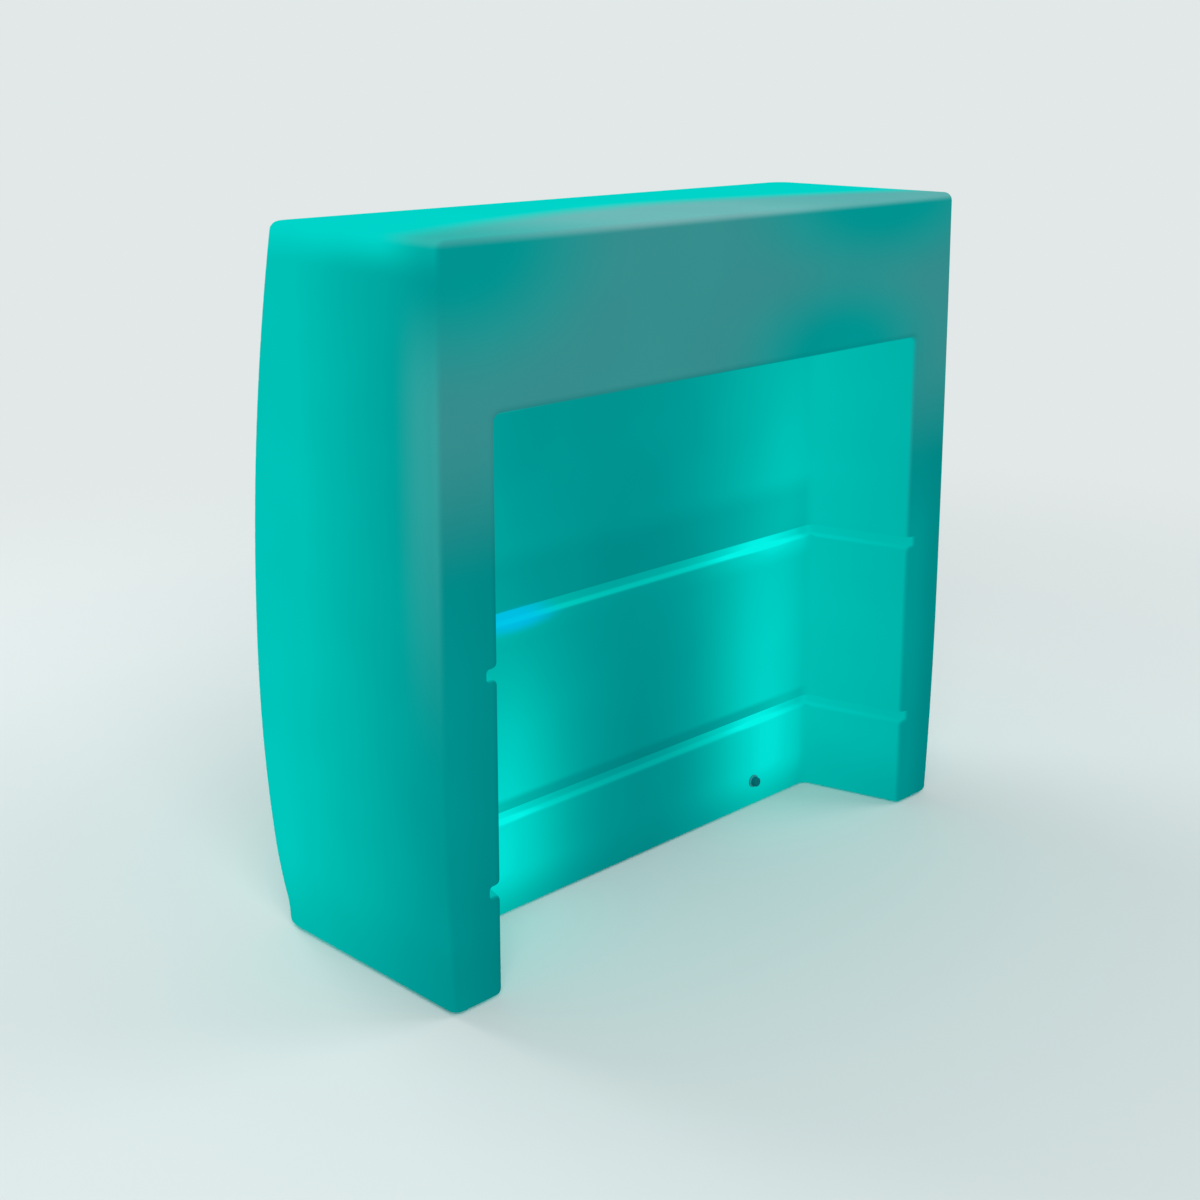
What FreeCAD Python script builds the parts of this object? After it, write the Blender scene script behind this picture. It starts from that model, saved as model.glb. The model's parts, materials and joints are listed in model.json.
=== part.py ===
import FreeCAD, Part
import math
import os
import re
import Sketcher

Vector = FreeCAD.Vector
UP = Vector(0, 0, 1)

# Illuminated bar counter: one hollow moulding lit from inside by two battery lamps.
# X runs along the counter, to the server's left. Customers stand at -Y, the server at +Y.
# Z is up, and the origin is on the floor under the middle of the counter.

# Driving dimensions, in millimetres
SIZES = {
    # Whole counter
    "bar_width": 1190,
    "bar_depth": 468,
    "bar_height": 1115,
    "wall": 5,
    # Customer front: bowed above and below the belly, then kicked in to an upright plinth
    "top_setback": 71,
    "belly_level": 446,
    "lower_radius": 2600,
    "kick_level": 150,
    "kick_radius": 590,
    "plinth_level": 38,
    "plinth_blend": 60,
    # End panels, bowed less than the front
    "end_belly_level": 400,
    "end_top_setback": 7,
    "end_base_setback": 13,
    # Roundings of the moulding
    "front_corner_radius": 40,
    "server_corner_radius": 18,
    "top_edge_radius": 14,
    "base_edge_radius": 10,
    # Open bay on the server's side: its walls draw in by the flare from mouth to back
    "front_thickness": 283,
    "leg_width": 104,
    "bay_flare": 48,
    "bay_height": 869,
    "bay_corner_radius": 15,
    "bay_ceiling_radius": 10,
    "bay_edge_radius": 13,
    # Shelf grooves round the bay
    "groove_depth": 20,
    "groove_width": 17,
    "groove_root_radius": 4,
    "groove_lip_radius": 8,
    "lower_groove_level": 170,
    "upper_groove_level": 500,
    # Push-in rubber feet
    "pad_height": 3,
    "pad_radius": 15,
    "stem_radius": 3.9,
    "barb_radius": 5.4,
    "barb_length": 5,
    "foot_inset": 58,
    "push_gap": 0.1,
    # Plug of the vent hole
    "vent_setback": 60,
    "vent_head_radius": 8,
    "vent_head_height": 1.6,
    "vent_stem_radius": 4.9,
    "vent_barb_radius": 6.2,
    # Lamp seats in the underside
    "lamp_inset": 250,
    "lamp_setback": 122,
    "lamp_hole": 146,
    "seat_diameter": 174,
    "seat_depth": 8,
    "seat_gap": 2,
    # Lamp covers, gaskets and screws
    "gasket_thickness": 2,
    "cover_thickness": 5,
    "cover_chamfer": 1,
    "spigot_gap": 1.5,
    "spigot_wall": 3,
    "spigot_height": 10,
    "screw_radius": 2,
    "screw_length": 16,
    "screw_head_radius": 3.8,
    "screw_head_height": 2.4,
    "screw_gap": 0.2,
    # Lamp housing and its inner parts
    "fit_gap": 0.3,
    "housing_wall": 2.5,
    "housing_height": 56,
    "cell_diameter": 18.4,
    "cell_length": 65,
    "cell_pitch": 19.4,
    "cell_nub_radius": 2.8,
    "cell_nub_height": 1.2,
    "tray_wall": 3.5,
    "tray_floor": 2,
    "post_width": 6,
    "board_gap": 4,
    "board_thickness": 1.6,
    "terminal_length": 20,
    "terminal_width": 10,
    "terminal_height": 9,
    "chip_side": 12,
    "chip_pitch": 36,
    "chip_height": 1.8,
    "plate_thickness": 4,
    "plate_step": 3,
    "wire_hole_radius": 4,
    "led_board_radius": 56,
    "led_board_thickness": 1.6,
    "led_side": 5,
    "led_height": 1.6,
    "led_well_radius": 2,
    "led_well_depth": 0.6,
    "led_outer_ring": 46,
    "led_inner_ring": 22,
    "led_screw_ring": 34,
    "led_screw_radius": 1.5,
    "led_screw_length": 5.4,
    "led_head_radius": 2.8,
    "led_head_height": 2,
    "dome_wall": 2,
    "dome_skirt": 6,
    "dome_ledge": 3,
    "dome_height": 42,
    # Charging socket in the back wall of the bay
    "socket_inset": 150,
    "socket_level": 52,
    "flange_radius": 11.5,
    "flange_thickness": 2,
    "washer_thickness": 1,
    "barrel_radius": 5.75,
    "barrel_gap": 0.3,
    "barrel_tail": 16,
    "boss_radius": 6.4,
    "boss_height": 5,
    "jack_radius": 3.2,
    "jack_depth": 18,
    "pin_radius": 1,
    "pin_length": 14,
    "nut_width": 17,
    "nut_thickness": 4,
    "cap_radius": 8.25,
    "cap_height": 8.5,
    "cap_end": 2.6,
    "cap_edge_radius": 1.6,
    "cap_gap": 0.35,
    # Inner leads, their grommets and clips
    "lead_radius": 2.75,
    "lead_tail": 8,
    "link_level": 34,
    "link_bend": 30,
    "charge_bend": 30,
    "charge_angle": 60,
    "grommet_radius": 7,
    "grommet_lip": 2.5,
    "grommet_neck_radius": 5,
    "grommet_gap": 0.2,
    "inner_lip_gap": 0.7,
    "clip_margin": 105,
    "clip_plate": 3,
    "clip_plate_side": 18,
    "clip_standoff": 11,
    "clip_wall": 2.2,
    "clip_width": 10,
}
SCREWS_PER_COVER = 6
SCREWS_PER_LED_BOARD = 3
OUTER_LED_COUNT = 12
INNER_LED_COUNT = 6
CELLS = 4
CLIPS = 4
FULL_TURN = 360
HALF_TURN = 180

# Heading from +X, in degrees, of what points at the server
TOWARDS_SERVER = 90

# Two edges or planes closer than this are taken as the same
NEAR = 0.01

doc = FreeCAD.newDocument("bar_counter")
sheet = doc.addObject("Spreadsheet::Sheet", "Sizes")
for row, (name, number) in enumerate(SIZES.items(), 1):
    sheet.set(f"A{row}", name)
    sheet.set(f"B{row}", str(number))
    sheet.setAlias(f"B{row}", name)
doc.recompute()

pieces = []


def bound(text):
    """Write the size names in an expression as cells of the sheet."""
    return re.sub(r"[a-z_]+", lambda word: f"Sizes.{word[0]}" if word[0] in SIZES else word[0], text)


def value(text):
    return float(sheet.evalExpression(bound(text)))


def bind(target, prop, text):
    target.setExpression(prop, bound(text))


def place(target, x="0", y="0", z="0", rotation=None):
    """Put an object at a point given in sizes, after turning it."""
    if rotation:
        target.Placement = FreeCAD.Placement(Vector(), rotation)
    for axis, text in zip("xyz", (x, y, z)):
        bind(target, f"Placement.Base.{axis}", text)


def keep(target, label):
    """Count an object as a finished piece of the counter."""
    target.Label = label
    pieces.append(target)
    return target


def towards(angle):
    """Rotation that lays a piece made along Z level, pointing at an angle from +X."""
    turn = math.radians(angle)
    return FreeCAD.Rotation(UP, Vector(math.cos(turn), math.sin(turn), 0))


# Sketches: closed loops of straight runs and arcs, every corner and radius tied to the sheet

def arc_between(start, end, radius):
    """Arc from start to end, turning left for a positive radius and right for a negative one."""
    chord = end - start
    rise = math.sqrt(radius ** 2 - (chord.Length / 2) ** 2)
    centre = start + chord / 2 + Vector(-chord.y, chord.x, 0).normalize() * math.copysign(rise, radius)
    first, last = (start, end) if radius > 0 else (end, start)
    angles = [math.atan2(point.y - centre.y, point.x - centre.x) for point in (first, last)]
    return Part.ArcOfCircle(Part.Circle(centre, UP, abs(radius)), *angles)


def pin_point(sketch, geometry, position, x, y):
    """Tie a sketch point to its place: on an axis, or at a bound distance from the origin."""
    for kind, axis, text in (("DistanceX", -2, x), ("DistanceY", -1, y)):
        if text == "0":
            sketch.addConstraint(Sketcher.Constraint("PointOnObject", geometry, position, axis))
        else:
            tie = Sketcher.Constraint(kind, -1, 1, geometry, position, value(text))
            bind(sketch, f"Constraints[{sketch.addConstraint(tie)}]", text)


def bind_radius(sketch, geometry, radius):
    tie = Sketcher.Constraint("Radius", geometry, abs(value(radius)))
    bind(sketch, f"Constraints[{sketch.addConstraint(tie)}]", f"abs({radius})")


def draw_loop(sketch, corners):
    """Draw corners (x, y), or (x, y, radius) where the run to the next corner is an arc."""
    points = [Vector(value(x), value(y), 0) for x, y, *_ in corners]
    runs = []
    for corner, start, end in zip(corners, points, points[1:] + points[:1]):
        radius = value(corner[2]) if len(corner) > 2 else 0
        curve = arc_between(start, end, radius) if radius else Part.LineSegment(start, end)
        runs.append((sketch.addGeometry(curve), *((2, 1) if radius < 0 else (1, 2))))
    for (geometry, _, last), (following, first, _) in zip(runs, runs[1:] + runs[:1]):
        sketch.addConstraint(Sketcher.Constraint("Coincident", geometry, last, following, first))
    for (geometry, first, _), (x, y, *radius) in zip(runs, corners):
        pin_point(sketch, geometry, first, x, y)
        for text in radius:
            bind_radius(sketch, geometry, text)


def draw_circle(sketch, x, y, radius):
    circle = sketch.addGeometry(Part.Circle(Vector(value(x), value(y), 0), UP, value(radius)))
    pin_point(sketch, circle, 3, x, y)
    bind_radius(sketch, circle, radius)


def new_sketch(body, name, plane, loops=(), circles=(), lift="0"):
    """Sketch on one of the body's origin planes, lifted along its normal."""
    sketch = body.newObject("Sketcher::SketchObject", name)
    sketch.AttachmentSupport = [(next(f for f in body.Origin.OriginFeatures if f.Role == plane), "")]
    sketch.MapMode = "FlatFace"
    bind(sketch, "AttachmentOffset.Base.z", lift)
    for corners in loops:
        draw_loop(sketch, corners)
    for circle in circles:
        draw_circle(sketch, *circle)
    doc.recompute()
    return sketch


def rectangle(x, y, half_x, half_y):
    """Corners of a rectangle about a centre."""
    left, right = f"{x} - {half_x}", f"{x} + {half_x}"
    near, far = f"{y} - {half_y}", f"{y} + {half_y}"
    return [(left, near), (right, near), (right, far), (left, far)]


def ring(radius, count):
    """Places evenly spaced on a circle."""
    steps = [FULL_TURN * index / count for index in range(count)]
    return [(f"{radius} * cos({angle})", f"{radius} * sin({angle})") for angle in steps]


# Features

def pad(body, name, sketch, length, both=False):
    feature = body.newObject("PartDesign::Pad", name)
    feature.Profile = sketch
    feature.SideType = "Symmetric" if both else "One side"
    bind(feature, "Length", length)
    doc.recompute()
    return feature


def pocket(body, name, sketch, length, both=False, forward=False):
    """Cut a sketch into a body: backward from its plane, forward along its normal, or both ways."""
    before = body.Shape.Volume
    feature = body.newObject("PartDesign::Pocket", name)
    feature.Profile = sketch
    feature.SideType = "Symmetric" if both else "One side"
    feature.Reversed = forward
    bind(feature, "Length", length)
    doc.recompute()
    if body.Shape.Volume > before - NEAR:
        raise RuntimeError(f"{name} cuts nothing")
    return feature


def fillet(body, name, wanted, radius):
    """Round the edges of a body for which wanted(edge) is true."""
    base = body.Tip
    edges = [f"Edge{number}" for number, edge in enumerate(base.Shape.Edges, 1) if wanted(edge)]
    feature = body.newObject("PartDesign::Fillet", name)
    feature.Base = (base, edges)
    bind(feature, "Radius", radius)
    doc.recompute()
    return feature


def lies_at(edge, axis, level):
    """True for an edge that lies in the plane across an axis at a level."""
    box = edge.BoundBox
    ends = (getattr(box, f"{axis}Min"), getattr(box, f"{axis}Max"))
    return all(abs(end - level) < NEAR for end in ends)


def rises(edge):
    return edge.BoundBox.ZLength > NEAR


def turned(label, profile):
    """Body turned about Z from a profile of (radius, height) corners."""
    body = doc.addObject("PartDesign::Body", label)
    sketch = new_sketch(body, f"{label}_profile", "XZ_Plane", [profile])
    feature = body.newObject("PartDesign::Revolution", f"{label}_turn")
    feature.Profile = sketch
    feature.ReferenceAxis = (sketch, ["V_Axis"])
    feature.Angle = FULL_TURN
    doc.recompute()
    return body


def bore(name, radius, length, x, y, z, rotation=None):
    """Cylinder used as a drill."""
    drill = doc.addObject("Part::Cylinder", name)
    bind(drill, "Radius", radius)
    bind(drill, "Height", length)
    place(drill, x, y, z, rotation)
    return drill


def drilled(name, base, drills):
    """Base with a set of drills cut out of it."""
    tools = doc.addObject("Part::Compound", f"{name}_drills")
    tools.Links = drills
    cut = doc.addObject("Part::Cut", name)
    cut.Base = base
    cut.Tool = tools
    doc.recompute()
    return cut


def group(label, shapes):
    """One piece that holds several like solids."""
    feature = doc.addObject("Part::Feature", label)
    feature.Shape = Part.makeCompound(shapes)
    return keep(feature, label)


def copy_at(template, x, y, z="0", rotation=None):
    """Copy of a template's solid, turned and put at a point given in sizes."""
    spot = FreeCAD.Placement(Vector(value(x), value(y), value(z)), rotation or FreeCAD.Rotation())
    return template.Shape.transformed(spot.toMatrix(), True)


# Places that several pieces share
SERVER_Y = "(bar_depth / 2)"
BAY_BACK_Y = "(front_thickness - bar_depth / 2)"
BAY_DEPTH = "(bar_depth - front_thickness)"
MOUTH_HALF = "(bar_width / 2 - leg_width)"
BACK_HALF = f"({MOUTH_HALF} - bay_flare)"
FLARE = f"(bay_flare / {BAY_DEPTH})"
SLANT = f"sqrt(1 + {FLARE}^2)"
KICK_SINE = "((belly_level - kick_level) / lower_radius)"
PLINTH_SINE = f"({KICK_SINE} + (kick_level - plinth_level) / kick_radius)"
KICK_Y = f"(-bar_depth / 2 + lower_radius * (1 - sqrt(1 - {KICK_SINE}^2)))"
PLINTH_Y = f"({KICK_Y} + kick_radius * (sqrt(1 - {KICK_SINE}^2) - sqrt(1 - {PLINTH_SINE}^2)))"
LAMP_Y = f"({BAY_BACK_Y} - lamp_setback)"
SEAT_Z = "(pad_height + seat_depth)"
COVER_TOP = f"({SEAT_Z} - gasket_thickness)"
COVER_BASE = f"({COVER_TOP} - cover_thickness)"
COVER_RADIUS = "(seat_diameter / 2 - seat_gap)"
SCREW_RING = f"((lamp_hole / 2 + {COVER_RADIUS}) / 2)"
SPIGOT_RADIUS = "(lamp_hole / 2 - spigot_gap)"
HOUSING_RADIUS = f"({SPIGOT_RADIUS} - spigot_wall - fit_gap)"
HOUSING_TOP = f"({COVER_TOP} + housing_height)"
PLATE_TOP = f"({HOUSING_TOP} + plate_thickness)"
LED_BOARD_TOP = f"({PLATE_TOP} + led_board_thickness)"
TRAY_HALF_X = f"({CELLS} * cell_pitch / 2 + tray_wall)"
TRAY_HALF_Y = "(cell_length / 2 + fit_gap + tray_wall)"
CELL_AXIS = f"({COVER_TOP} + tray_floor + fit_gap + cell_diameter / 2)"
BOARD_BASE = f"({CELL_AXIS} + cell_diameter / 2 + board_gap)"
SOCKET_X = f"(socket_inset - {BACK_HALF})"
RIGHT_LAMP_X = "(lamp_inset - bar_width / 2)"
LEFT_LAMP_X = "(bar_width / 2 - lamp_inset)"
LINK_Y = f"({BAY_BACK_Y} - wall - clip_standoff)"


# Moulding: outer form and hollow are made alike, the hollow inset by the wall

def bay_outline(spread):
    """Plan of the bay with its walls moved outwards by spread, run on past the server's face."""
    back = f"({BAY_BACK_Y} - {spread})"
    mouth = f"({SERVER_Y} + {BAY_DEPTH})"
    back_half = f"({BACK_HALF} + {spread} * ({SLANT} - {FLARE}))"
    mouth_half = f"({MOUTH_HALF} + bay_flare + {spread} * {SLANT})"
    return [(f"-{back_half}", back), (back_half, back), (mouth_half, mouth), (f"-{mouth_half}", mouth)]


def end_waste(sign, inset):
    """Outline of what is trimmed off one end to bow it."""
    half = f"(bar_width / 2 - {inset})"
    rise = "(bar_height - end_belly_level)"
    upper = f"{sign}(({rise}^2 + end_top_setback^2) / (2 * end_top_setback))"
    lower = f"{sign}((end_belly_level^2 + end_base_setback^2) / (2 * end_base_setback))"
    return [
        (f"{sign}({half} - end_base_setback)", "0", lower),
        (f"{sign}{half}", "end_belly_level", upper),
        (f"{sign}({half} - end_top_setback)", "bar_height"),
        (f"{sign}bar_width", "bar_height"),
        (f"{sign}bar_width", "0"),
    ]


def side_profile(inset):
    """Upright section of the counter, from the server's face round the top and down the bowed front."""
    server, front = f"({SERVER_Y} - {inset})", f"(-bar_depth / 2 + {inset})"
    top, base = f"(bar_height - {inset})", f"(pad_height + {inset})"
    bow = "(((bar_height - belly_level)^2 + top_setback^2) / (2 * top_setback))"
    top_front = f"({front} + {bow} - sqrt({bow}^2 - ({top} - belly_level)^2))"
    return [
        (server, base),
        (server, top),
        (top_front, top, bow),
        (front, "belly_level", "lower_radius"),
        (f"{KICK_Y} + {inset}", "kick_level", "kick_radius"),
        (f"{PLINTH_Y} + {inset}", "plinth_level"),
        (f"{PLINTH_Y} + {inset}", base),
    ]


def cut_groove(body, name, level, inset):
    """Shelf groove round the three walls of the bay, with rounded plan corners."""
    width, depth = f"(groove_width + 2 * {inset})", f"(groove_depth + {inset})"
    plan = new_sketch(body, f"{name}_plan", "XY_Plane", [bay_outline(depth)], lift=level)
    pocket(body, name, plan, width, both=True)
    root_y = value(f"{BAY_BACK_Y} - {depth}")
    low, high = value(f"{level} - {width} / 2"), value(f"{level} + {width} / 2")

    def root_corner(edge):
        return rises(edge) and lies_at(edge, "Y", root_y) and low < edge.CenterOfMass.z < high

    fillet(body, f"{name}_corners", root_corner, f"bay_corner_radius + {depth}")
    return low, high


def round_groove(body, name, low, high):
    """Round the root of a groove, then its lips, out over the server's face."""
    back, half = value(BAY_BACK_Y), value(BACK_HALF)
    flare, slant, middle = value(FLARE), value(SLANT), value("groove_depth / 2")
    server = value(SERVER_Y)

    def in_flank(edge):
        return lies_at(edge, "Z", low) or lies_at(edge, "Z", high)

    def depth_of(point):
        return max(back - point.y, (abs(point.x) - half - (point.y - back) * flare) / slant)

    def root(edge):
        return in_flank(edge) and depth_of(edge.CenterOfMass) > middle and not lies_at(edge, "Y", server)

    def lip(edge):
        box = edge.BoundBox
        if box.ZMin < low - NEAR or box.ZMax > high + NEAR:
            return False
        return lies_at(edge, "Y", server) or in_flank(edge) and depth_of(edge.CenterOfMass) < middle

    fillet(body, f"{name}_root", root, "groove_root_radius")
    fillet(body, f"{name}_lips", lip, "groove_lip_radius")


def moulded_form(name, inset):
    """Counter's form with every face moved inwards by inset."""
    body = doc.addObject("PartDesign::Body", name)
    server, back = value(f"{SERVER_Y} - {inset}"), value(f"{BAY_BACK_Y} - {inset}")
    top, base = value(f"bar_height - {inset}"), value(f"pad_height + {inset}")
    ceiling, plinth = value(f"bay_height + {inset}"), value("plinth_level")
    half_width, mouth = value("bar_width / 2"), value(f"{MOUTH_HALF} + groove_depth")

    side = new_sketch(body, f"{name}_side", "YZ_Plane", [side_profile(inset)])
    pad(body, f"{name}_block", side, "2 * bar_width", both=True)
    ends = new_sketch(body, f"{name}_ends", "XZ_Plane", [end_waste(sign, inset) for sign in ("", "-")])
    pocket(body, f"{name}_bowed_ends", ends, "2 * bar_depth", both=True)

    def plinth_edge(edge):
        return lies_at(edge, "Z", plinth) and edge.BoundBox.XLength > half_width

    def front_corner(edge):
        return rises(edge) and edge.CenterOfMass.y < 0

    def server_corner(edge):
        return rises(edge) and lies_at(edge, "Y", server)

    fillet(body, f"{name}_plinth_blend", plinth_edge, f"plinth_blend + {inset}")
    fillet(body, f"{name}_front_corners", front_corner, f"front_corner_radius - {inset}")
    fillet(body, f"{name}_server_corners", server_corner, f"server_corner_radius - {inset}")

    bay = new_sketch(body, f"{name}_bay_plan", "XY_Plane", [bay_outline(inset)])
    pocket(body, f"{name}_bay", bay, f"bay_height + {inset}", forward=True)

    def bay_corner(edge):
        return rises(edge) and lies_at(edge, "Y", back)

    def bay_ceiling(edge):
        return lies_at(edge, "Z", ceiling) and not lies_at(edge, "Y", server)

    def bay_edge(edge):
        if not lies_at(edge, "Y", server) or lies_at(edge, "Z", base):
            return False
        return abs(edge.CenterOfMass.x) < mouth and edge.BoundBox.ZMax < ceiling + NEAR

    fillet(body, f"{name}_bay_corners", bay_corner, f"bay_corner_radius + {inset}")
    fillet(body, f"{name}_bay_ceiling", bay_ceiling, f"bay_ceiling_radius + {inset}")
    fillet(body, f"{name}_bay_edges", bay_edge, f"bay_edge_radius - {inset}")
    fillet(body, f"{name}_top_edge", lambda edge: lies_at(edge, "Z", top), f"top_edge_radius - {inset}")
    fillet(body, f"{name}_base_edge", lambda edge: lies_at(edge, "Z", base), f"base_edge_radius - {inset}")

    seats = [(x, LAMP_Y, f"seat_diameter / 2 + {inset}") for x in (LEFT_LAMP_X, RIGHT_LAMP_X)]
    seat_sketch = new_sketch(body, f"{name}_seat_plan", "XY_Plane", circles=seats)
    pocket(body, f"{name}_lamp_seats", seat_sketch, f"{SEAT_Z} + {inset}", forward=True)
    return body


outer = moulded_form("outer_form", "0")
hollow = moulded_form("hollow_form", "wall")
for name, level in (("lower_groove", "lower_groove_level"), ("upper_groove", "upper_groove_level")):
    round_groove(outer, name, *cut_groove(outer, name, level, "0"))
    cut_groove(hollow, f"{name}_ridge", level, "wall")

skin = doc.addObject("Part::Cut", "skin")
skin.Base = outer
skin.Tool = hollow

# Holes through the wall: lamps, cover screws, feet, vent and charging socket
BASE_HOLE_LENGTH = "(pad_height + wall + seat_depth)"
LEG_X = "(bar_width / 2 - foot_inset)"
FOOT_PLACES = [
    (LEG_X, f"({SERVER_Y} - foot_inset)"),
    (f"-{LEG_X}", f"({SERVER_Y} - foot_inset)"),
    (f"({LEG_X} - pad_radius)", f"({PLINTH_Y} + foot_inset)"),
    (f"-({LEG_X} - pad_radius)", f"({PLINTH_Y} + foot_inset)"),
    ("0", f"({PLINTH_Y} + foot_inset)"),
    ("0", f"({BAY_BACK_Y} - foot_inset)"),
]
VENT_PLACE = ("0", f"({BAY_BACK_Y} - foot_inset - vent_setback)")
drills = []
for number, (x, y) in enumerate(FOOT_PLACES):
    drills.append(bore(f"foot_hole_{number}", "stem_radius + push_gap", BASE_HOLE_LENGTH, x, y, "0"))
drills.append(bore("vent_hole", "vent_stem_radius + push_gap", BASE_HOLE_LENGTH, *VENT_PLACE, "0"))
for side, lamp_x in (("left", LEFT_LAMP_X), ("right", RIGHT_LAMP_X)):
    drills.append(bore(f"lamp_hole_{side}", "lamp_hole / 2", f"{SEAT_Z} + 2 * wall", lamp_x, LAMP_Y, "0"))
    for number, (x, y) in enumerate(ring(SCREW_RING, SCREWS_PER_COVER)):
        spot = (f"{lamp_x} + {x}", f"{LAMP_Y} + {y}", "0")
        name = f"screw_hole_{side}_{number}"
        drills.append(bore(name, "screw_radius + screw_gap", f"{SEAT_Z} + 2 * wall", *spot))
socket_spot = (SOCKET_X, f"{BAY_BACK_Y} - 2 * wall", "socket_level", towards(TOWARDS_SERVER))
drills.append(bore("socket_hole", "barrel_radius + barrel_gap", "3 * wall", *socket_spot))
keep(drilled("body_shell", skin, drills), "body_shell")


# Rubber feet and vent plug, pushed into their holes from below

def push_plug(label, head_radius, head_height, stem, barb):
    """Head under the base, stem through the wall and a barb that snaps out above it."""
    inside = "(pad_height + wall + push_gap)"
    return turned(label, [
        ("0", f"pad_height - {head_height}"),
        (head_radius, f"pad_height - {head_height}"),
        (head_radius, "pad_height"),
        (stem, "pad_height"),
        (stem, inside),
        (barb, inside),
        (stem, f"{inside} + barb_length"),
        ("0", f"{inside} + barb_length"),
    ])


foot = push_plug("foot_template", "pad_radius", "pad_height", "stem_radius", "barb_radius")
group("rubber_feet", [copy_at(foot, x, y) for x, y in FOOT_PLACES])
vent = push_plug("vent_plug", "vent_head_radius", "vent_head_height", "vent_stem_radius",
                 "vent_barb_radius")
place(keep(vent, "vent_plug"), *VENT_PLACE)


# Templates of the lamps' small parts

def headed_screw(label, radius, length, head_radius, head_height):
    """Screw that points up, with its head's upper face at zero."""
    return turned(label, [
        ("0", f"-{head_height}"),
        (f"{head_radius} - {head_height} / 2", f"-{head_height}", f"{head_height} / 2"),
        (head_radius, f"-{head_height} / 2"),
        (head_radius, "0"),
        (radius, "0"),
        (radius, f"{length} - {radius}"),
        (f"{radius} / 2", length),
        ("0", length),
    ])


cover_screw = headed_screw("cover_screw_template", "screw_radius", "screw_length",
                           "screw_head_radius", "screw_head_height")
board_screw = headed_screw("board_screw_template", "led_screw_radius", "led_screw_length",
                           "led_head_radius", "led_head_height")
cell = turned("cell_template", [
    ("0", "0"),
    ("cell_diameter / 2", "0"),
    ("cell_diameter / 2", "cell_length - cell_nub_height"),
    ("cell_nub_radius", "cell_length - cell_nub_height"),
    ("cell_nub_radius", "cell_length"),
    ("0", "cell_length"),
])
emitter = doc.addObject("PartDesign::Body", "emitter_template")
emitter_plan = new_sketch(emitter, "emitter_plan", "XY_Plane",
                          [rectangle("0", "0", "led_side / 2", "led_side / 2")])
pad(emitter, "emitter_block", emitter_plan, "led_height")
emitter_well = new_sketch(emitter, "emitter_well", "XY_Plane",
                          circles=[("0", "0", "led_well_radius")], lift="led_height")
pocket(emitter, "emitter_cut", emitter_well, "led_well_depth")
grommet = turned("grommet_template", [
    ("lead_radius + grommet_gap", "-housing_wall - grommet_lip"),
    ("grommet_radius", "-housing_wall - grommet_lip"),
    ("grommet_radius", "-housing_wall - inner_lip_gap"),
    ("grommet_neck_radius", "-housing_wall - inner_lip_gap"),
    ("grommet_neck_radius", "grommet_gap"),
    ("grommet_radius", "grommet_gap"),
    ("grommet_radius - grommet_lip / 2", "grommet_lip"),
    ("lead_radius + grommet_gap", "grommet_lip"),
])
doc.recompute()


# Lamp units: everything that drops out of the underside with one cover

def screw_holes(body, name, radius, lift, length):
    holes = [(x, y, radius) for x, y in ring(SCREW_RING, SCREWS_PER_COVER)]
    pocket(body, name, new_sketch(body, f"{name}_plan", "XY_Plane", circles=holes, lift=lift), length)


def lamp_cover(label):
    """Screwed disc with a spigot that centres it in the moulding's hole."""
    body = turned(label, [
        ("0", COVER_BASE),
        (f"{COVER_RADIUS} - cover_chamfer", COVER_BASE),
        (COVER_RADIUS, f"{COVER_BASE} + cover_chamfer"),
        (COVER_RADIUS, COVER_TOP),
        (SPIGOT_RADIUS, COVER_TOP),
        (SPIGOT_RADIUS, f"{COVER_TOP} + spigot_height"),
        (f"{SPIGOT_RADIUS} - spigot_wall", f"{COVER_TOP} + spigot_height"),
        (f"{SPIGOT_RADIUS} - spigot_wall", COVER_TOP),
        ("0", COVER_TOP),
    ])
    screw_holes(body, f"{label}_screw_holes", "screw_radius + screw_gap", COVER_TOP, "cover_thickness")
    sink = f"{COVER_BASE} + screw_head_height"
    screw_holes(body, f"{label}_head_sinks", "screw_head_radius + screw_gap", sink, "screw_head_height")
    return body


def cover_gasket(label):
    body = turned(label, [
        ("lamp_hole / 2", COVER_TOP),
        (COVER_RADIUS, COVER_TOP),
        (COVER_RADIUS, SEAT_Z),
        ("lamp_hole / 2", SEAT_Z),
    ])
    screw_holes(body, f"{label}_screw_holes", "screw_radius + screw_gap", SEAT_Z, "gasket_thickness")
    return body


def housing_tube(label):
    return turned(label, [
        (f"{HOUSING_RADIUS} - housing_wall", COVER_TOP),
        (HOUSING_RADIUS, COVER_TOP),
        (HOUSING_RADIUS, HOUSING_TOP),
        (f"{HOUSING_RADIUS} - housing_wall", HOUSING_TOP),
    ])


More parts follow.
